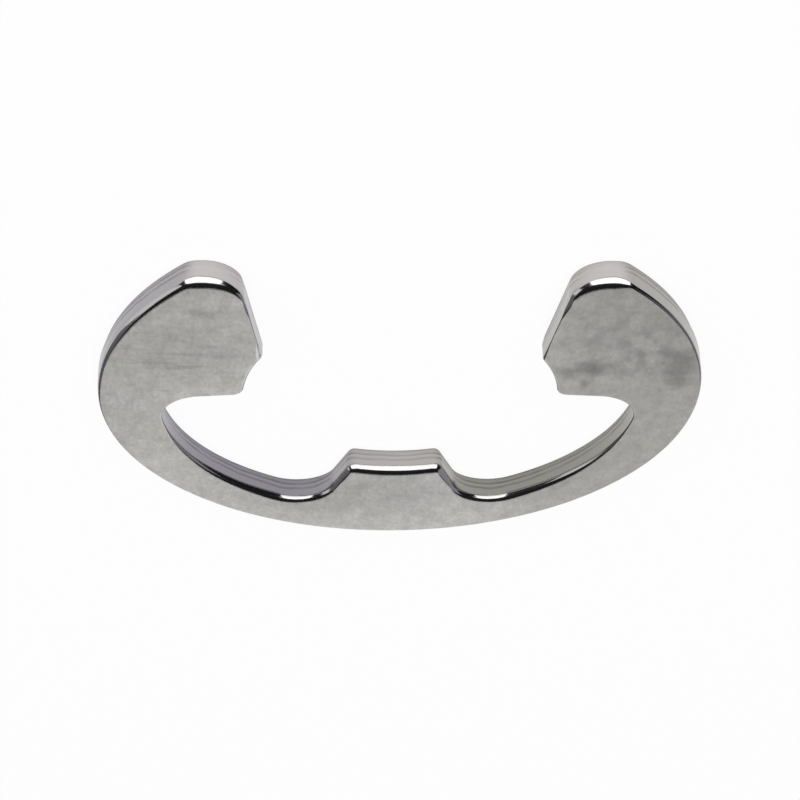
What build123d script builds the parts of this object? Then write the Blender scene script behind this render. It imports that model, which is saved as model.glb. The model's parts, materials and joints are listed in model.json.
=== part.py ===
from build123d import *
from math import atan2, cos, hypot, radians, sin, sqrt, tan
import os

# E clip: an open retaining ring, blanked in one stroke from spring steel strip.
# It is pushed sideways, mouth first, into a groove round a shaft. The tab and the two prongs
# then grip the groove's floor on one circle, the seat, and the rim stands proud as a shoulder.
# The strip lies in XY and +Z is the rolled face. The origin is on the seat's axis, in the
# plane of the lower face, and the mouth opens to +Y. All sizes are in millimetres and degrees.

# ---- Driving sizes: outline ----
outside_d = 23.9        # the rim's outer edge, one circle about the seat's axis
seat_d = 12.5           # free size of the circle that the tab and the prongs grip
mouth_gap = 10.8        # between the noses, where the shaft snaps through
tip_set_back = 3.15     # from the top of the rim's circle down to the prongs' flat ends
lead_in_angle = 8.0     # each lead-in flank leans out from the line of entry by this much
heel_rise = 0.38        # the prongs' undersides start this far above the seat's axis
underside_fall = 4.2    # and then drop outwards by this angle
tab_width = 3.8         # the tab's end, measured at the seat
tab_flare = 21.0        # each side of the tab leans out by this angle towards the rim
rim_at_tab = 1.9        # width of the rim behind the tab, in line with the scoops
rim_at_side = 2.4       # width of the rim at the level of the seat's axis

# ---- Driving sizes: corners, seen from above ----
tip_outer_r = 1.0       # prong's end to rim
tip_inner_r = 1.55      # prong's end to lead-in flank
nose_r = 0.4            # lead-in flank to seat
heel_r = 0.5            # seat to underside
scoop_end_r = 1.7       # underside to scoop
scoop_root_r = 1.6      # scoop to tab
tab_corner_r = 0.4      # tab's side to seat

# ---- Driving sizes: section ----
thickness = 1.1         # of the strip
die_roll = 0.38         # radius drawn over the upper edge by the die, then tumbled smooth
fracture_depth = 0.42   # lowest part of the wall, where the metal tore instead of shearing
fracture_angle = 6.0    # lean of that torn band under the sheared land above it
edge_break = 0.06       # bevel that tumbling leaves on the lower edge

# ---- Worked out from them ----
rim_r = outside_d / 2
seat_r = seat_d / 2
tip_y = rim_r - tip_set_back
nose_x = mouth_gap / 2
nose_y = sqrt(seat_r**2 - nose_x**2)
heel_x = sqrt(seat_r**2 - heel_rise**2)
tab_x = tab_width / 2
tab_y = -sqrt(seat_r**2 - tab_x**2)
far = 2 * rim_r         # reach of the cutting shapes, well clear of the rim
roll_corner_r = 1.05 * die_roll  # no outer corner is sharper than the roll that runs round it


def scoop_circle():
    """Radius and drop of the arc that leaves the rim its two widths."""
    behind_tab = rim_r - rim_at_tab
    at_side = rim_r - rim_at_side
    drop = (behind_tab**2 - at_side**2) / (2 * behind_tab)
    return behind_tab - drop, drop


scoop_r, scoop_drop = scoop_circle()


def lean_to(x, y, angle, y_end):
    """End of a line that leaves x, y and leans out from the Y axis until it reaches y_end."""
    return (x + abs(y_end - y) * tan(radians(angle)), y_end)


def meets_scoop(x, y, dx, dy):
    """Point where a line from x, y along dx, dy runs out to the scoop's arc."""
    length = hypot(dx, dy)
    ux, uy = dx / length, dy / length
    along = x * ux + (y + scoop_drop) * uy
    gap = x**2 + (y + scoop_drop) ** 2 - scoop_r**2
    reach = -along + sqrt(along**2 - gap)
    return (x + reach * ux, y + reach * uy)


def mirrored(points):
    """Closed outline from its right half, listed from one end of the Y axis to the other."""
    return points + [(-x, y) for x, y in reversed(points)]


def seat():
    return Circle(seat_r)


def mouth():
    """Gap between the lead-in flanks, and all that lies past the prongs' ends."""
    flanks = [(nose_x, nose_y), lean_to(nose_x, nose_y, lead_in_angle, far)]
    past_ends = Pos(0, tip_y + far / 2) * Rectangle(2 * far, far)
    return Polygon(*mirrored(flanks), align=None) + past_ends


def tab():
    """Wedge that stands on the rim and is hollowed to the seat at its end."""
    sides = [(tab_x, 0), (tab_x, tab_y), lean_to(tab_x, tab_y, tab_flare, -far)]
    return Polygon(*mirrored(sides), align=None) - seat()


def scoops():
    """The two hollows, one each side of the tab, that let the rim spring open."""
    fall = (far - heel_x) * tan(radians(underside_fall))
    below = [(heel_x, heel_rise), (far, heel_rise - fall), (far, -far)]
    disc = Pos(0, -scoop_drop) * Circle(scoop_r)
    return disc & Polygon(*mirrored(below), align=None)


def corner_rounds():
    """Each kind of corner: its place on the right-hand side, and its radius."""
    tip_out = (sqrt(rim_r**2 - tip_y**2), tip_y)
    tip_in = lean_to(nose_x, nose_y, lead_in_angle, tip_y)
    turn_out = atan2(tip_out[0], tip_y)
    turn_in = radians(90 - lead_in_angle)
    used = tip_outer_r * tan(turn_out / 2) + tip_inner_r * tan(turn_in / 2)
    fit = min(1, 0.95 * (tip_out[0] - tip_in[0]) / used)
    fall, flare = radians(underside_fall), radians(tab_flare)
    return [
        (tip_out, fit * tip_outer_r),
        (tip_in, fit * tip_inner_r),
        ((nose_x, nose_y), max(nose_r, roll_corner_r)),
        ((heel_x, heel_rise), max(heel_r, roll_corner_r)),
        (meets_scoop(heel_x, heel_rise, cos(fall), -sin(fall)), scoop_end_r),
        (meets_scoop(tab_x, tab_y, sin(flare), -cos(flare)), scoop_root_r),
        ((tab_x, tab_y), max(tab_corner_r, roll_corner_r)),
    ]


def outline():
    """Shape of the blank from above, with every corner rounded."""
    blank = Circle(rim_r) - (seat() + mouth() + (scoops() - tab()))
    for (x, y), radius in corner_rounds():
        pair = [blank.vertices().sort_by_distance((side * x, y, 0))[0] for side in (1, -1)]
        blank = fillet(pair, radius)
    return blank


def e_clip():
    """The clip: sheared land over torn band, with a rolled upper and a bevelled lower edge."""
    clip = extrude(outline(), amount=thickness)
    under = clip.faces().sort_by(Axis.Z)[0]
    lean = fracture_depth * tan(radians(fracture_angle))
    clip = chamfer(under.edges(), length=lean, length2=fracture_depth, reference=under)
    clip = fillet(clip.faces().sort_by(Axis.Z)[-1].edges(), die_roll)
    return chamfer(clip.faces().sort_by(Axis.Z)[0].edges(), edge_break)


if __name__ == "__main__":
    os.makedirs("parts", exist_ok=True)
    clip = e_clip()
    export_step(clip, "parts/e_clip.step")
    print("e_clip", round(clip.volume, 3), "mm3", clip.bounding_box().size)
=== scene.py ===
# %% [markdown]
# # An E clip, dressed round its CAD frame
# An E clip is pushed sideways into a groove round a shaft and keeps a wheel or lever from sliding off.
# It is blanked in one stroke from thin spring steel strip, hardened, and tumbled with small stones, which
# leaves satin faces and edges that shine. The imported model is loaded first: it fixes where everything is.

# %% Load the frame
import json
from math import atan2, ceil, cos, pi, radians, sin, tan

import bmesh
import bpy
from mathutils import Matrix, Vector, geometry


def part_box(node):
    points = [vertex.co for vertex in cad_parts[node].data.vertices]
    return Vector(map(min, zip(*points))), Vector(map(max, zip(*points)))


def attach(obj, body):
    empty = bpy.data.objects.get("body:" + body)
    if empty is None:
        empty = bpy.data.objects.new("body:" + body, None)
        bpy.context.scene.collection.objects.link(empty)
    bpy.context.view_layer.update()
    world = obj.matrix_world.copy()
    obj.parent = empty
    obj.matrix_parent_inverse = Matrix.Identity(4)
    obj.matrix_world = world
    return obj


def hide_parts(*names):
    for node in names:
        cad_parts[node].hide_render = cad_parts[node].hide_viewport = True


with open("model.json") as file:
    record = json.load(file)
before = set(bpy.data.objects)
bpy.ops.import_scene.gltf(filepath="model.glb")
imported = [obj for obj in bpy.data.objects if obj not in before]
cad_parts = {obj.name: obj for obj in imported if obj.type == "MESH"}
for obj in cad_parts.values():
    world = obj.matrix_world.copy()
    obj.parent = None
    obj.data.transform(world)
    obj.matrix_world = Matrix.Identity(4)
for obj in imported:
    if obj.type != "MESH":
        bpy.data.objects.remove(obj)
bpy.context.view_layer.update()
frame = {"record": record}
low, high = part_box("e_clip")
seat_mount = next(m for m in frame["record"]["mounts"] if m["name"] == "groove_seat")
print("frame loaded, the clip's corners are", tuple(low), tuple(high))

# %% [markdown]
# ## Sizes
# The width, the height of the prongs' ends, the thickness and the seat come from the frame. The other sizes
# are the drawing's own, in metres. Each is written once, and everything below is worked out from them.

# %% The clip's sizes
mm = 0.001
rim_r = (high.x - low.x) / 2
tip_y = high.y
thickness = high.z - low.z
seat_r = seat_mount["dims"]["r_mm"] * mm

mouth_gap = 10.8 * mm       # between the noses
lead_in_lean = radians(8)   # the flanks open outwards, to guide the shaft in
heel_rise = 0.38 * mm       # where the prongs' undersides leave the seat
underside_fall = radians(4.2)
tab_width = 3.8 * mm
tab_flare = radians(21)     # the tab widens towards the rim
rim_at_tab = 1.9 * mm       # width of the rim behind the tab
rim_at_side = 2.4 * mm      # width of the rim at its two sides

tip_outer_r = 1.0 * mm
tip_inner_r = 1.55 * mm
nose_r = 0.5 * mm
heel_r = 0.5 * mm
scoop_end_r = 1.7 * mm
scoop_root_r = 1.6 * mm
tab_corner_r = 0.4 * mm

torn_height = 0.42 * mm     # lowest part of the wall, where the steel broke away
torn_lean = radians(15)
edge_break = 0.06 * mm      # bevel that tumbling leaves on the lower edge
print("rim radius", rim_r, "seat radius", seat_r, "thickness", thickness)

# %% [markdown]
# ## The outline
# The outline is a chain of straight lines and circles, with a round where each meets the next. It could be
# drawn by hand as a Bezier curve, but then no radius would be exact. Here each stretch is a wall that is
# walked with the steel on its left. A round that fits between two walls has its centre where both walls,
# moved aside by its radius, cross.

# %% Walls
def line(x, y, dx, dy):
    """A straight wall through a point, walked in the direction dx, dy."""
    return {"at": Vector((x, y)), "along": Vector((dx, dy)).normalized()}


def circle(y, radius, turn):
    """A circle centred on the clip's middle line: turn is 1 walked to the left, -1 to the right."""
    return {"centre": Vector((0, y)), "radius": radius, "turn": turn}


def moved_left(wall, distance):
    """The same wall, moved to its left, which is into the steel."""
    if "along" in wall:
        return {**wall, "at": wall["at"] + distance * wall["along"].orthogonal()}
    return {**wall, "radius": wall["radius"] - wall["turn"] * distance}


# %% Where two walls cross, and the round between them
def crossing(a, b, near):
    """The point where two walls cross, nearest to a given one."""
    if "along" in b:
        a, b = b, a
    if "along" not in a:
        found = geometry.intersect_sphere_sphere_2d(a["centre"], a["radius"], b["centre"], b["radius"])
    elif "along" not in b:
        found = geometry.intersect_line_sphere_2d(
            a["at"], a["at"] + a["along"], b["centre"], b["radius"], False)
    else:
        ends = [p.to_3d() for w in (a, b) for p in (w["at"], w["at"] + w["along"])]
        found = [geometry.intersect_line_line(*ends)[0].to_2d()]
    return min(found, key=lambda p: (p - near).length)


def touch(wall, centre):
    """The point of a wall nearest to a round's centre."""
    if "along" in wall:
        return wall["at"] + (centre - wall["at"]).dot(wall["along"]) * wall["along"]
    away = (centre - wall["centre"]).normalized()
    return wall["centre"] + away * wall["radius"]


def round_between(a, b, near, radius, turn):
    """The round that touches two walls, where it leaves the first, and where it joins the second."""
    centre = crossing(moved_left(a, turn * radius), moved_left(b, turn * radius), near)
    return {"centre": centre, "radius": radius, "turn": turn}, touch(a, centre), touch(b, centre)


# %% The right half of the outline, from the bottom of the rim round to the tab's end
nose = Vector((mouth_gap / 2, (seat_r**2 - mouth_gap**2 / 4) ** 0.5))
heel = Vector(((seat_r**2 - heel_rise**2) ** 0.5, heel_rise))
tab_end = Vector((tab_width / 2, -((seat_r**2 - tab_width**2 / 4) ** 0.5)))
scoop_drop = ((rim_r - rim_at_tab) ** 2 - (rim_r - rim_at_side) ** 2) / (2 * (rim_r - rim_at_tab))
scoop_r = rim_r - rim_at_tab - scoop_drop

rim = circle(0, rim_r, 1)
prong_end = line(0, tip_y, -1, 0)
flank = line(*nose, -sin(lead_in_lean), -cos(lead_in_lean))
seat = circle(0, seat_r, -1)
underside = line(*heel, cos(underside_fall), -sin(underside_fall))
scoop = circle(-scoop_drop, scoop_r, -1)
tab_side = line(*tab_end, -sin(tab_flare), cos(tab_flare))
print("nose at", tuple(nose), "and scoop radius", scoop_r, "in metres")

# %% [markdown]
# ### The roll
# The die draws the edge down most where the steel is narrow and free, at the prongs' ends, and least where
# it is held. The left shoulder and nose sat a little deeper in the die than the right ones. A fillet could
# do this only with one radius, so each wall gets the roll's radius at a few even steps along it, and the
# points between pass smoothly from one to the next.

# %% Each wall's roll on the right half, roll on the left half, both in mm, and reach
# Reach is how well the tumbling stones get at a wall: 1 is as well as at the prongs' ends, and 0 not at all.
# It also sets painted shade: the less a wall is reached, the darker its tone, for the shaded table that
# recessed walls mirror.
low_roll = [0.07, 0.07, 0.07, 0.08]
walls = [
    (rim, [*low_roll, 0.08, 0.10, 0.11, 0.12, 0.16], [*low_roll, 0.06, 0.07, 0.18, 0.28, 0.32],
     [0.25, 0.25, 0.22, 0.2, 0.45]),
    (prong_end, [0.42, 0.45, 0.44], [0.46, 0.46, 0.44], [1.0, 1.0]),
    (flank, [0.28, 0.06, 0.05, 0.12], [0.20, 0.06, 0.05, 0.28], [0.6, 0.4, 0.35]),
    (seat, [0.12, 0.08], [0.28, 0.12], [0.4, 0.4]),
    (underside, [0.08, 0.07], [0.1, 0.07], [0.3, 0.2]),
    (scoop, [0.07, 0.17, 0.27, 0.30], [0.07, 0.19, 0.27, 0.30], [0.1, 0.05]),
    (tab_side, [0.24, 0.36], [0.24, 0.32], [0.15, 0.3]),
    (seat, [0.38, 0.42], [0.38, 0.42], [0.6, 0.65]),
]
# The round after each wall: a point that tells which crossing is meant, its radius, and 1 where the outline
# turns left there or -1 where it turns right.
corners = [
    (Vector((rim_r, rim_r)), tip_outer_r, 1),
    (nose + Vector((0, rim_r)), tip_inner_r, 1),
    (nose, nose_r, 1),
    (heel, heel_r, 1),
    (Vector((scoop_r, -scoop_drop)), scoop_end_r, -1),
    (tab_end + Vector((0, -rim_r)), scoop_root_r, -1),
    (tab_end, tab_corner_r, 1),
]
print(len(walls), "walls and", len(corners), "rounds on each half")

# %% Points along a wall, each with the direction into the steel
longest_step = 0.09 * mm
widest_turn = radians(5)


def eased(keys, share):
    """A value that passes smoothly through evenly spaced keys as share goes from 0 to 1."""
    step = share * (len(keys) - 1)
    i = min(int(step), len(keys) - 2)
    part = step - i
    return keys[i] + (keys[i + 1] - keys[i]) * part * part * (3 - 2 * part)


def along_wall(wall, start, end, rolls, reaches_and_light):
    """Evenly spaced points of one stretch, each with its direction into the steel, roll, and reach, which
    also sets the wall's painted shade.
    """
    if "along" in wall:
        steps = max(1, ceil((end - start).length / longest_step))
        places = [(start.lerp(end, i / steps), wall["along"].orthogonal()) for i in range(steps)]
    else:
        centre, turn = wall["centre"], wall["turn"]
        first, last = ((p - centre) for p in (start, end))
        sweep = turn * ((turn * (atan2(last.y, last.x) - atan2(first.y, first.x))) % (2 * pi))
        steps = max(1, ceil(abs(sweep) * wall["radius"] / longest_step),
                    ceil(abs(sweep) / widest_turn))
        spokes = [Matrix.Rotation(sweep * i / steps, 2) @ first for i in range(steps)]
        places = [(centre + spoke, -turn * spoke.normalized()) for spoke in spokes]
    return [(p, n, mm * eased(rolls, i / steps), eased(reaches_and_light, i / steps))
            for i, (p, n) in enumerate(places)]


# %% The whole outline: the right half, and the left one as its mirror image with its own roll
def half_outline(side):
    """The right half for side 1. Side 2 gives the left half's rolls, on the right half's places."""
    points, start = [], Vector((0, -rim_r))
    for here, after, corner in zip(walls, walls[1:], corners):
        bend, leaves, joins = round_between(here[0], after[0], *corner)
        points += along_wall(here[0], start, leaves, here[side], here[3])
        points += along_wall(bend, leaves, joins, *([here[i][-1], after[i][0]] for i in (side, 3)))
        start = joins
    last = Vector((0, -seat_r))
    points += along_wall(walls[-1][0], start, last, walls[-1][side], walls[-1][3])
    return points + [(last, Vector((0, -1)), mm * walls[-1][side][-1], walls[-1][3][-1])]


right, left = half_outline(1), half_outline(2)
mirrored_left = [(Vector((-p.x, p.y)), Vector((-n.x, n.y)), *values)
                 for p, n, *values in reversed(left[1:-1])]
outline = right + mirrored_left
print(len(outline), "points round the outline")


# %% A closed ring of edges that carries them as attributes
places, directions, rolls, reaches_and_light = zip(*outline)
count = len(outline)
ring = bpy.data.meshes.new("outline")
ring.from_pydata([(*p, 0) for p in places], [(i, (i + 1) % count) for i in range(count)], [])
inward = ring.attributes.new("inward", "FLOAT_VECTOR", "POINT")
inward.data.foreach_set("vector", [c for direction in directions for c in (*direction, 0)])
for name, values in (("roll", rolls), ("reach_and_light", reaches_and_light)):
    ring.attributes.new(name, "FLOAT", "POINT").data.foreach_set("value", values)
clip = bpy.data.objects.new("stamped_clip", ring)
bpy.context.scene.collection.objects.link(clip)
print("a ring of", len(ring.edges), "edges")

# %% [markdown]
# ## The blank
# A press cuts the strip in three ways on the way down: it first draws the upper edge round, then shears a
# bright band, and at last the steel tears and leans in. That section could be extruded and bevelled, but the
# roll isn't the same size all round, and a Bevel modifier has one width. So the section is swept along the
# outline with Geometry Nodes: Curve to Mesh only weaves the mesh, and a Set Position node then puts each
# point where its own piece of outline says.

# %% One function adds a node, with its settings and links
def add(tree, kind, links=(), **settings):
    """Adds a node. links gives (input, value) pairs, where a value may also be a socket or a node."""
    node = tree.nodes.new(kind)
    for key, value in settings.items():
        setattr(node, key, value)
    for socket, value in dict(links).items():
        if isinstance(value, bpy.types.Node):
            value = next(output for output in value.outputs if output.enabled)
        if isinstance(value, bpy.types.NodeSocket):
            tree.links.new(value, node.inputs[socket])
        else:
            node.inputs[socket].default_value = value
    return node


# %% The section, from the upper face down to the table
roll_points, land_points, tear_points, bevel_points = 15, 5, 7, 2


def section(tree, sizes, foot_in):
    """
    Four curves, in which x goes into the steel and y goes up.
    Two stored vectors say where each point belongs: at fixed, plus the roll's radius times by_roll.
    """
    here = add(tree, "GeometryNodeInputPosition")
    arc = add(tree, "GeometryNodeCurveArc", {"Resolution": roll_points, "Radius": 1.0,
                                             "Start Angle": pi / 2, "Sweep Angle": pi / 2}, mode="RADIUS")
    arc = add(tree, "GeometryNodeSetPosition", {"Geometry": arc, "Offset": (1.0, -1.0, 0.0)})
    land = add(tree, "GeometryNodeCurvePrimitiveLine", {"Start": (0, -1, 0), "End": (0, 0, 0)})
    tear_top = add(tree, "ShaderNodeCombineXYZ", {"Y": sizes["Torn height"]})
    tear_foot = add(tree, "ShaderNodeCombineXYZ", {"X": sizes["Torn lean"], "Y": sizes["Edge break"]})
    foot = add(tree, "ShaderNodeCombineXYZ", {"X": foot_in})
    tear = add(tree, "GeometryNodeCurvePrimitiveLine", {"Start": tear_top, "End": tear_foot})
    bevel = add(tree, "GeometryNodeCurvePrimitiveLine", {"Start": tear_foot, "End": foot})

    # The sheared land gets shorter as the roll grows: its foot stays, and its upper end follows the roll.
    top = add(tree, "ShaderNodeCombineXYZ", {"Y": sizes["Thickness"]})
    drop = add(tree, "ShaderNodeVectorMath", {0: tear_top, 1: top}, operation="SUBTRACT")
    on_land = add(tree, "ShaderNodeVectorMath", {0: drop, 1: here, 2: tear_top}, operation="MULTIPLY_ADD")
    still = (0.0, 0.0, 0.0)
    whole = add(tree, "GeometryNodeJoinGeometry")
    for curve, points, fixed, by_roll in ((arc, roll_points, top, here), (land, land_points, on_land, here),
                                          (tear, tear_points, here, still),
                                          (bevel, bevel_points, here, still)):
        part = add(tree, "GeometryNodeResampleCurve", {"Curve": curve, "Count": points})
        for name, value in (("fixed", fixed), ("by_roll", by_roll)):
            part = add(tree, "GeometryNodeStoreNamedAttribute", {"Geometry": part, "Name": name,
                                                                 "Value": value}, data_type="FLOAT_VECTOR")
        tree.links.new(part.outputs[0], whole.inputs[0])
    return whole


# %% The wall, woven round the outline, with each point where its own piece of outline puts it
def drawn_wall(tree, path, sizes, foot_in, inward, roll):
    marked = add(tree, "GeometryNodeStoreNamedAttribute",
                 {"Geometry": path, "Name": "edge_at", "Value": add(tree, "GeometryNodeInputPosition")},
                 data_type="FLOAT_VECTOR")
    profile = section(tree, sizes, foot_in)
    woven = add(tree, "GeometryNodeCurveToMesh", {"Curve": marked, "Profile Curve": profile})
    edge_at, fixed, by_roll = (
        add(tree, "GeometryNodeInputNamedAttribute", {"Name": name}, data_type="FLOAT_VECTOR")
        for name in ("edge_at", "fixed", "by_roll"))
    drawn = add(tree, "ShaderNodeVectorMath", {0: by_roll, 1: roll, 2: fixed}, operation="MULTIPLY_ADD")
    drawn = add(tree, "ShaderNodeSeparateXYZ", {0: drawn}).outputs
    rise = add(tree, "ShaderNodeCombineXYZ", {"Z": drawn["Y"]})
    over = add(tree, "ShaderNodeVectorMath", {0: edge_at, 1: rise}, operation="ADD")
    place = add(tree, "ShaderNodeVectorMath", {0: inward, 1: drawn["X"], 2: over}, operation="MULTIPLY_ADD")
    return add(tree, "GeometryNodeSetPosition", {"Geometry": woven, "Position": place})


# %% A face: the outline, drawn in to where the section ends, and filled
def flat_face(tree, path, inward, inset, height=None):
    """With a height it is the upper face, and without one the lower face, which looks down."""
    back = add(tree, "ShaderNodeVectorMath", {0: inward, "Scale": inset}, operation="SCALE")
    drawn_in = add(tree, "GeometryNodeSetPosition", {"Geometry": path, "Offset": back})
    sheet = add(tree, "GeometryNodeFillCurve", {"Curve": drawn_in})
    if height is None:
        return add(tree, "GeometryNodeFlipFaces", {"Mesh": sheet})
    lift = add(tree, "ShaderNodeCombineXYZ", {"Z": height})
    return add(tree, "GeometryNodeSetPosition", {"Geometry": sheet, "Offset": lift})


# %% The tree: wall and faces, welded to one closed skin that carries the steel
crease = radians(20)        # the wall shades smoothly up to this bend
weld = 0.0002 * mm


def blank_tree():
    tree = bpy.data.node_groups.new("blanking", "GeometryNodeTree")
    tree.interface.new_socket("Outline", in_out="INPUT", socket_type="NodeSocketGeometry")
    for name in ("Thickness", "Torn height", "Torn lean", "Edge break"):
        tree.interface.new_socket(name, in_out="INPUT", socket_type="NodeSocketFloat")
    tree.interface.new_socket("Steel", in_out="INPUT", socket_type="NodeSocketMaterial")
    tree.interface.new_socket("Clip", in_out="OUTPUT", socket_type="NodeSocketGeometry")
    sizes = add(tree, "NodeGroupInput").outputs
    foot_in = add(tree, "ShaderNodeMath", {0: sizes["Torn lean"], 1: sizes["Edge break"]}, operation="ADD")
    inward, roll = (add(tree, "GeometryNodeInputNamedAttribute", {"Name": name}, data_type=kind)
                    for name, kind in (("inward", "FLOAT_VECTOR"), ("roll", "FLOAT")))

    path = add(tree, "GeometryNodeMeshToCurve", {"Mesh": sizes["Outline"]})
    whole = add(tree, "GeometryNodeJoinGeometry")
    for part in (drawn_wall(tree, path, sizes, foot_in, inward, roll),
                 flat_face(tree, path, inward, roll, sizes["Thickness"]),
                 flat_face(tree, path, inward, foot_in)):
        tree.links.new(part.outputs[0], whole.inputs[0])

    solid = add(tree, "GeometryNodeMergeByDistance", {"Geometry": whole, "Distance": weld})
    solid = add(tree, "GeometryNodeSetShadeSmooth", {"Geometry": solid})
    bend = add(tree, "GeometryNodeInputMeshEdgeAngle").outputs["Unsigned Angle"]
    soft = add(tree, "FunctionNodeCompare", {0: bend, 1: crease}, operation="LESS_THAN")
    solid = add(tree, "GeometryNodeSetShadeSmooth", {"Geometry": solid, "Shade Smooth": soft}, domain="EDGE")
    real = add(tree, "GeometryNodeRealizeInstances", {"Geometry": solid})
    dressed = add(tree, "GeometryNodeSetMaterial", {"Geometry": real, "Material": sizes["Steel"]})
    add(tree, "NodeGroupOutput", {0: dressed})
    return tree


# %% Stamp it: set the inputs and take the result as a plain mesh
spring_steel = bpy.data.materials.new("tumbled_spring_steel")
stamp = clip.modifiers.new("blanking", "NODES")
stamp.node_group = blank_tree()
wanted = {"Thickness": thickness, "Torn height": torn_height, "Torn lean": torn_height * tan(torn_lean),
          "Edge break": edge_break, "Steel": spring_steel}
for socket in stamp.node_group.interface.items_tree:
    if socket.name in wanted:
        stamp[socket.identifier] = wanted[socket.name]
stamped = bpy.data.meshes.new_from_object(clip.evaluated_get(bpy.context.evaluated_depsgraph_get()))
clip.modifiers.remove(stamp)
clip.data = stamped
print("stamped", stamped.name, "with", len(stamped.vertices), "points")

# %% Check that it is closed, and measure it
solid = bmesh.new()
solid.from_mesh(stamped)
print("triangles", sum(len(face.verts) - 2 for face in solid.faces),
      "open edges", sum(not edge.is_manifold for edge in solid.edges),
      "volume in cubic mm", round(solid.calc_volume(signed=True) / mm**3, 2))
solid.free()

# %% It rides on the only body and stands for the CAD solid
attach(clip, "root")
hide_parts("e_clip")
print("the clip rides on the root body")

# %% [markdown]
# ## The steel
# The clip is carbon spring steel, hardened, then tumbled and oiled. A metal's look is nearly all reflection,
# so what tells its surfaces apart is mostly roughness. The two faces are satin from the rolling mill and the
# stones. The roll and the sheared band were rubbed by the die, so they mirror sharply, and the torn band is
# dull. One material could be given to each, but the change from one to the next is gradual, so a single
# material reads where it is: how far up the wall, how far the surface has turned up, and the ring's own
# values of roll and reach.

# %% One function turns colours to linear
def tone(hex_colour):
    """An sRGB hex colour as linear values."""
    parts = [int(hex_colour[i:i + 2], 16) / 255 for i in (1, 3, 5)]
    linear = [c / 12.92 if c <= 0.04045 else ((c + 0.055) / 1.055) ** 2.4 for c in parts]
    return (*linear, 1.0)


# %% Where a point is, and which way it looks
spring_steel.use_nodes = True
steel = spring_steel.node_tree
steel.nodes.clear()
spot = add(steel, "ShaderNodeTexCoord").outputs["Object"]
place = add(steel, "ShaderNodeSeparateXYZ", {0: spot}).outputs
normal = add(steel, "ShaderNodeNewGeometry").outputs["Normal"]
upward = add(steel, "ShaderNodeSeparateXYZ", {0: normal}).outputs["Z"]  # 0 on the wall, 1 on the upper face


def clouds(size_mm, stretch=1.0, detail=2.0, shift=0.0):
    """Noise from 0 to 1 with patches of a size in mm, which are stretch times as long across the clip."""
    scaled = add(steel, "ShaderNodeMapping", {
        "Vector": spot, "Location": (shift,) * 3,
        "Scale": (1 / (size_mm * mm * stretch), 1 / (size_mm * mm), 1 / (size_mm * mm))})
    return add(steel, "ShaderNodeTexNoise", {"Vector": scaled, "Scale": 1.0, "Detail": detail})


# %% [markdown]
# ### The wall
# Shearing leaves fine dark lines along the wall, where the punch paused and where the tear began. They could
# be grooves, but are far finer than the steel is thick, so they are drawn. A dark line along the wall's foot
# is painted shade, for the shaded table that the foot mirrors. Stones polish the prongs' ends bright and
# hardly get into the scoops, which stay dull and keep their lines; the scoops' and the tab's walls are
# darker too, which is painted shade for the shaded table they mirror. Oil gives one side a violet tint and
# the other a warm one. A Mix node's inputs have the same names for every kind of value, so they are given by
# number: 0 is the share of the second, 2 and 3 are two numbers, and 6 and 7 two colours.

# %% Fine dark lines along the wall, and painted shade along its foot
reach_and_light = add(steel, "ShaderNodeAttribute", attribute_name="reach_and_light").outputs["Fac"]
share_up = add(steel, "ShaderNodeMath", {0: place["Z"], 1: thickness}, operation="DIVIDE")
wander = add(steel, "ShaderNodeMapRange", {"Value": clouds(1.3), "To Min": -0.08, "To Max": 0.08})
share_up = add(steel, "ShaderNodeMath", {0: share_up, 1: wander}, operation="ADD")

lines = 1.0
# Each line's height and half its width are shares of the wall, and its depth is how much light it takes.
# The first, at the wall's foot, is painted shade for the shaded table that the foot mirrors; the other two
# are shear marks.
for at, half_width, depth in ((0.0, 0.10, 0.5), (0.27, 0.06, 0.5), (0.48, 0.06, 0.4)):
    off = add(steel, "ShaderNodeMath", {0: share_up, 1: at}, operation="SUBTRACT")
    off = add(steel, "ShaderNodeMath", {0: off}, operation="ABSOLUTE")
    one_line = add(steel, "ShaderNodeMapRange", {"Value": off, "From Min": half_width * 0.4,
                                                 "From Max": half_width, "To Min": 1 - depth, "To Max": 1.0})
    lines = add(steel, "ShaderNodeMath", {0: lines, 1: one_line}, operation="MULTIPLY")

# %% The lines and the foot's painted shade fade where stones polish the wall, which is also where it stands in the open, and here and there along it
polished_and_lit = add(steel, "ShaderNodeMapRange", {"Value": reach_and_light, "From Min": 0.3, "From Max": 0.9})
worn = add(steel, "ShaderNodeMapRange", {"Value": clouds(1.5, shift=4.0), "From Min": 0.4,
                                         "From Max": 0.65, "To Max": 0.55})
faded = add(steel, "ShaderNodeMath", {0: polished_and_lit, 1: worn}, operation="MAXIMUM")
lines = add(steel, "ShaderNodeMix", {0: faded, 2: lines, 3: 1.0})
print("the wall's lines took", len(steel.nodes), "nodes")

# %% The wall's tones, violet on the left and warm on the right, with painted shade in the recesses
side = add(steel, "ShaderNodeMapRange", {"Value": place["X"], "From Min": -4 * mm, "From Max": 1 * mm})
# Where the stones hardly reach, the wall takes the dull tone, which is also painted shade for the shaded
# table that recessed walls mirror; where they reach fully, it takes the bright tone.
dull_and_shaded = add(steel, "ShaderNodeMix", {0: side, 6: tone("#928f98"), 7: tone("#96948d")}, data_type="RGBA")
wall = add(steel, "ShaderNodeMix", {0: reach_and_light, 6: dull_and_shaded, 7: tone("#d0cbca")}, data_type="RGBA")
wall = add(steel, "ShaderNodeMix", {0: 1.0, 6: wall, 7: lines}, data_type="RGBA", blend_type="MULTIPLY")
print("the wall's tone comes from", wall.name)

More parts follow.
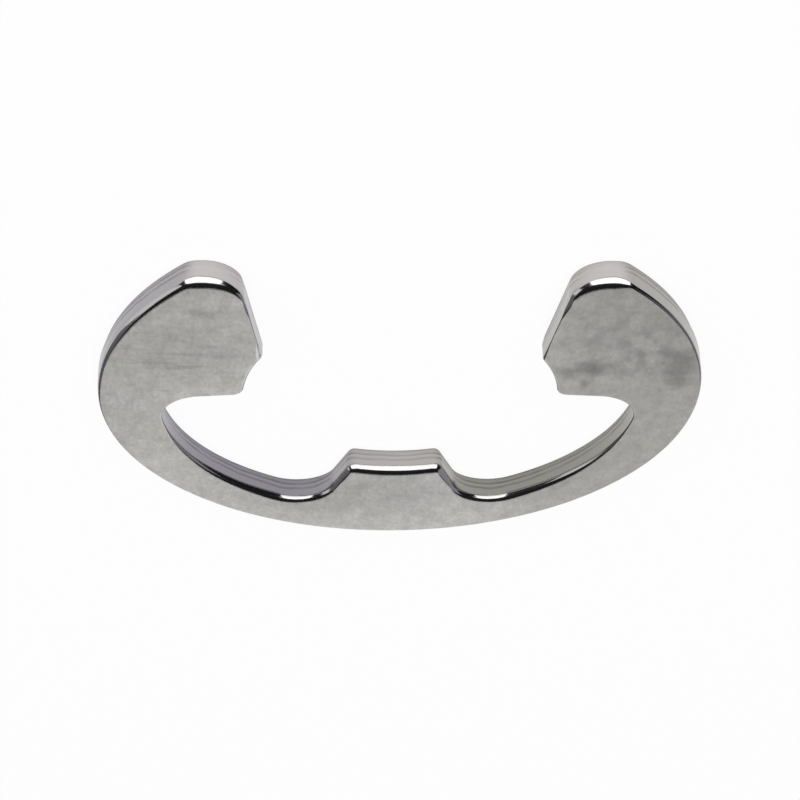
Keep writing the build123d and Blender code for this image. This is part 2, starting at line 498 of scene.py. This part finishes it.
# %% The roll is brighter where it is large, because the die rubbed it there
radius = add(steel, "ShaderNodeAttribute", attribute_name="roll").outputs["Fac"]
rubbed = add(steel, "ShaderNodeMapRange", {"Value": radius, "From Min": 0.12 * mm, "From Max": 0.25 * mm})
roll = add(steel, "ShaderNodeMix", {0: rubbed, 6: tone("#a09fa0"), 7: tone("#d9d6d5")}, data_type="RGBA")
on_roll = add(steel, "ShaderNodeMapRange", {"Value": upward, "From Min": 0.3, "From Max": 0.55})
edge = add(steel, "ShaderNodeMix", {0: on_roll, 6: wall, 7: roll}, data_type="RGBA")
print("wall and roll took", len(steel.nodes), "nodes together")

# %% [markdown]
# ### The faces
# Tumbling clouds a rolled face with patches about a millimetre across, and leaves faint streaks along the
# strip. Its grain is about 0.02 mm, which is too fine to show, so it is drawn twelve times as coarse. Oil
# dries to soft stains: flecks on one prong, rubbed streaks on the other. A painted picture could hold them,
# but noise of a real size, kept by a soft patch where the stain lies, stays sharp from near by.

# %% Two nearly equal greys, then clouds, streaks and grain
hue = clouds(2.2, detail=1.0, shift=3.0)
face = add(steel, "ShaderNodeMix", {0: hue, 6: tone("#cdcdc5"), 7: tone("#cbc8c8")}, data_type="RGBA")
patches = clouds(1.0, stretch=0.6, detail=4.0)
streaks = clouds(0.22, stretch=8.0)
grain = clouds(0.24, stretch=0.5, shift=6.0)
for pattern, darkest, lightest in ((patches, 0.89, 1.08), (streaks, 0.98, 1.02), (grain, 0.90, 1.10)):
    shade = add(steel, "ShaderNodeMapRange", {"Value": pattern, "From Min": 0.3, "From Max": 0.7,
                                              "To Min": darkest, "To Max": lightest})
    face = add(steel, "ShaderNodeMix", {0: 1.0, 6: face, 7: shade}, data_type="RGBA", blend_type="MULTIPLY")
print("with the bare faces", len(steel.nodes), "nodes")


# %% A soft patch, and flecks in it
def patch(x, y, length, width, ragged=0.9, shift=0.0):
    """1 inside a soft oval with a ragged rim, and 0 outside it. Its place and size are in mm."""
    flat = add(steel, "ShaderNodeMapping", {"Vector": spot, "Location": (-x / length, -y / width, 0),
                                            "Scale": (1 / (length * mm), 1 / (width * mm), 0)})
    far = add(steel, "ShaderNodeVectorMath", {0: flat}, operation="LENGTH").outputs["Value"]
    rough = add(steel, "ShaderNodeMapRange", {"Value": clouds(0.8, detail=3.0, shift=shift),
                                              "To Min": -ragged / 2, "To Max": ragged / 2})
    far = add(steel, "ShaderNodeMath", {0: far, 1: rough}, operation="ADD")
    return add(steel, "ShaderNodeMapRange", {"Value": far, "From Max": 1.25, "To Min": 1.0, "To Max": 0.0},
               interpolation_type="SMOOTHSTEP")


def flecked(area, size_mm, stretch, low, high, shift):
    """Keeps of an area only the flecks where noise passes from low to high."""
    noise = clouds(size_mm, stretch, 3.0, shift)
    flecks = add(steel, "ShaderNodeMapRange", {"Value": noise, "From Min": low, "From Max": high},
                 interpolation_type="SMOOTHSTEP")
    return add(steel, "ShaderNodeMath", {0: area, 1: flecks}, operation="MULTIPLY")


# %% Stains, and a darker, browner right side: where each lies, how strongly it shows, and its colour
violet, brown, soot = tone("#77707e"), tone("#868078"), tone("#5a5856")
# The face turns darker and browner towards its right side.
far_right = add(steel, "ShaderNodeMapRange", {"Value": place["X"], "From Min": 2.5 * mm, "From Max": 8 * mm},
                interpolation_type="SMOOTHSTEP")
stains = [
    (far_right, 0.34, brown),
    (patch(-2.0, -8.5, 6.0, 3.2), 0.24, soot),
    (patch(-10.5, -1.0, 2.5, 3.5), 0.08, soot),
    (patch(-8.6, 3.4, 4.0, 3.0), 0.16, soot),
    (flecked(patch(9.2, 3.4, 4.0, 4.0), 1.0, 0.7, 0.38, 0.7, 7.0), 0.45, violet),
    (patch(10.7, 3.0, 0.9, 1.3, 1.4, 10.7), 0.45, soot),
    (patch(11.0, 1.6, 0.8, 0.9, 1.4, 11.0), 0.35, soot),
    (patch(7.6, 2.5, 1.1, 0.7, 1.4, 7.6), 0.5, soot),
    (patch(6.5, 2.2, 0.7, 0.6, 1.4, 6.5), 0.4, soot),
    (patch(7.2, 1.3, 0.3, 0.6, 1.4, 7.2), 0.5, soot),
    (flecked(patch(-8.8, 3.4, 3.6, 3.2), 0.3, 8.0, 0.45, 0.8, 2.0), 0.34, soot),
    (flecked(patch(-7.8, 6.3, 1.8, 2.2), 0.7, 1.6, 0.45, 0.8, 5.0), 0.35, soot),
]
for area, depth, colour in stains:
    share = add(steel, "ShaderNodeMath", {0: area, 1: depth}, operation="MULTIPLY")
    face = add(steel, "ShaderNodeMix", {0: share, 6: face, 7: colour}, data_type="RGBA")
print(len(stains), "stains, and", len(steel.nodes), "nodes so far")

# %% [markdown]
# ### Colour and roughness together
# The face's tone starts where the roll is nearly level, and its satin a little later, so the roll stays a
# clean dark line up to the face. A metal's IOR stays as it is.

# %% The colour, from edge to face
on_face = add(steel, "ShaderNodeMapRange", {"Value": upward, "From Min": 0.85, "From Max": 0.95})
colour = add(steel, "ShaderNodeMix", {0: on_face, 6: edge, 7: face}, data_type="RGBA")
print("the colour comes from", colour.name)

# %% The roughness: torn band, sheared band and roll, face
torn_share, blur = torn_height / thickness, 0.04    # shares of the wall
bare = add(steel, "ShaderNodeMapRange", {"Value": share_up, "From Min": torn_share - blur,
                                         "From Max": torn_share + blur, "To Min": 0.34, "To Max": 0.13})
satin = add(steel, "ShaderNodeMapRange", {"Value": clouds(0.5), "To Min": 0.36, "To Max": 0.44})
level = add(steel, "ShaderNodeMapRange", {"Value": upward, "From Min": 0.93, "From Max": 0.99})
rough = add(steel, "ShaderNodeMix", {0: level, 2: bare, 3: satin})
metal = add(steel, "ShaderNodeBsdfPrincipled", {"Base Color": colour, "Metallic": 1.0, "Roughness": rough})
add(steel, "ShaderNodeOutputMaterial", {"Surface": metal})
print("the steel has", len(steel.nodes), "nodes")

# %% [markdown]
# ## The table
# The clip lies on matt white paper. More light would turn paper white but would also bleach the steel, so
# instead a viewing ray, or one that the steel mirrors, gets part of its light as plain white. The rest is
# the lit paper, which keeps the clip's faint shadow.

# %% A flat piece of the stage
def flat_piece(name, corners, material):
    """One four-cornered face that isn't part of the clip."""
    mesh = bpy.data.meshes.new(name)
    mesh.from_pydata(corners, [], [(0, 1, 2, 3)])
    mesh.materials.append(material)
    piece = bpy.data.objects.new(name, mesh)
    bpy.context.scene.collection.objects.link(piece)
    return piece


# %% Matt white paper: it scatters light evenly and hardly shines
seen_white, mirrored_white = 0.94, 0.4      # share of plain white that each ray gets
paper = bpy.data.materials.new("matt_white_paper")
paper.use_nodes = True
page = paper.node_tree
page.nodes.clear()
matt = add(page, "ShaderNodeBsdfPrincipled", {"Base Color": tone("#fafafa"), "Roughness": 0.9,
                                              "Specular IOR Level": 0.1})
ray = add(page, "ShaderNodeLightPath").outputs
seen = add(page, "ShaderNodeMath", {0: ray["Is Camera Ray"], 1: ray["Is Transmission Ray"]},
           operation="MAXIMUM")
seen = add(page, "ShaderNodeMath", {0: seen, 1: seen_white}, operation="MULTIPLY")
mirrored = add(page, "ShaderNodeMath", {0: ray["Is Glossy Ray"], 1: mirrored_white}, operation="MULTIPLY")
either = add(page, "ShaderNodeMath", {0: seen, 1: mirrored}, operation="MAXIMUM")
white = add(page, "ShaderNodeEmission", {"Color": tone("#ffffff"), "Strength": 1.0})
mixed = add(page, "ShaderNodeMixShader", {0: either, 1: matt, 2: white})
add(page, "ShaderNodeOutputMaterial", {"Surface": mixed})
print(paper.name, "has", len(page.nodes), "nodes")

# %% The table, a hair below the clip so that the two faces don't meet
half, top = 2.0, -0.01 * mm
flat_piece("white_table", [(-half, -half, top), (half, -half, top), (half, half, top), (-half, half, top)],
           paper)
print("the table's top is at", top)

# %% [markdown]
# ## The light
# Polished steel is lit by what stands round it. Lamps alone would give it only small hard spots, so cards
# stand round it, as in a studio for small metal parts. A large soft panel behind the camera draws the white
# line along every roll that turns towards it, and a black card overhead draws the dark line beside that.
# Beyond the clip a pale card gives the faces their grey. Black and grey cards on both sides keep the rolls
# there dark, and a dark wing beside the panel ends the white line. Only the steel and the paper see the
# cards. One lamp over the table, which the steel doesn't mirror, lights the paper.

# %% A grey room
world = bpy.data.worlds.new("grey_room")
bpy.context.scene.world = world
world.use_nodes = True
world.node_tree.nodes["Background"].inputs["Color"].default_value = tone("#dadadc")
print("the room is", world.name)


# %% A card is a face that glows evenly, and the camera doesn't see it
def card(name, corners, shade, strength):
    glow = bpy.data.materials.new(name)
    glow.use_nodes = True
    glow.node_tree.nodes.clear()
    light = add(glow.node_tree, "ShaderNodeEmission", {"Color": tone(shade), "Strength": strength})
    add(glow.node_tree, "ShaderNodeOutputMaterial", {"Surface": light})
    flat_piece(name, corners, glow).visible_camera = False


# %% Standing cards, each over a line on the table in metres, between two heights in degrees from the clip
for name, start, end, low_angle, high_angle, shade, strength in (
        ("soft_panel", (-0.62, 0.5), (0.51, 0.5), 7, 62, "#ffffff", 1.7),
        ("panel_skirt", (-0.3, 0.5), (0.51, 0.5), 0.5, 7, "#89898b", 1.0),
        ("pale_back", (-0.2, -0.5), (0.24, -0.5), 9, 42, "#ffffff", 1.08),
        ("back_skirt", (-0.2, -0.5), (0.24, -0.5), 0.5, 9, "#bcbcbc", 1.0),
        ("dark_back", (-0.14, -0.48), (-0.44, -0.2), 0, 33, "#66666a", 1.0),
        ("dim_side", (0.42, -0.62), (0.5, -0.18), 3, 38, "#8c8c96", 1.0),
        ("dark_side", (0.5, -0.18), (0.52, 0.5), 3, 47, "#1c1c20", 1.0),
        ("dark_wing", (-0.66, 0.05), (-0.63, 0.5), 10, 45, "#303034", 1.0)):
    middle = Vector(start).lerp(Vector(end), 0.5).length
    low_z, high_z = middle * tan(radians(low_angle)), middle * tan(radians(high_angle))
    card(name, [(*start, low_z), (*end, low_z), (*end, high_z), (*start, high_z)], shade, strength)
    print(name, "stands from", round(low_z, 3), "to", round(high_z, 3), "m")

# %% The card overhead
overhead_corners = [(-0.62, -0.72), (0.75, -0.72), (0.75, 0.255), (-0.62, 0.255)]
overhead = 0.5
card("overhead_card", [(*corner, overhead) for corner in overhead_corners], "#202022", 1.0)
print("the overhead card hangs at", overhead, "m")

# %% The lamp for the paper
lamp_data = bpy.data.lights.new("paper_lamp", "AREA")
lamp_data.size = 0.3
lamp_data.energy = 0.9
lamp = bpy.data.objects.new("paper_lamp", lamp_data)
bpy.context.scene.collection.objects.link(lamp)
lamp.location = (0, 0, 0.45)
lamp.visible_glossy = False
print("the lamp hangs", lamp.location.z, "m over the clip")

# %% [markdown]
# ## The camera
# It looks down on the clip from beyond the prongs' ends with a long lens, and is turned upside down, so the
# prongs are at the top of the view. A constraint could aim it, but not upside down, so its three directions
# are worked out: away from the clip, up in the view, and across.

# %% The camera, nearly 3 degrees beside the clip's middle line and a little out of level
azimuth, elevation, tilt = radians(2.785), radians(28.91), radians(-1.396)
distance = 94.6 * mm
camera_data = bpy.data.cameras.new("camera")
camera_data.lens = 107
camera_data.clip_start, camera_data.clip_end = 1 * mm, 10
camera = bpy.data.objects.new("camera", camera_data)
bpy.context.scene.collection.objects.link(camera)
away = Vector((-sin(azimuth) * cos(elevation), cos(azimuth) * cos(elevation), sin(elevation)))
up = (away * away.z - Vector((0, 0, 1))).normalized()
turned = Matrix((up.cross(away), up, away)).transposed() @ Matrix.Rotation(tilt, 3, "Z")
aim = Vector((0, 0, thickness))
camera.matrix_world = Matrix.Translation(aim + away * distance) @ turned.to_4x4()
bpy.context.scene.camera = camera
bpy.context.scene.view_settings.view_transform = "Standard"
print("the camera is at", tuple(camera.matrix_world.translation))
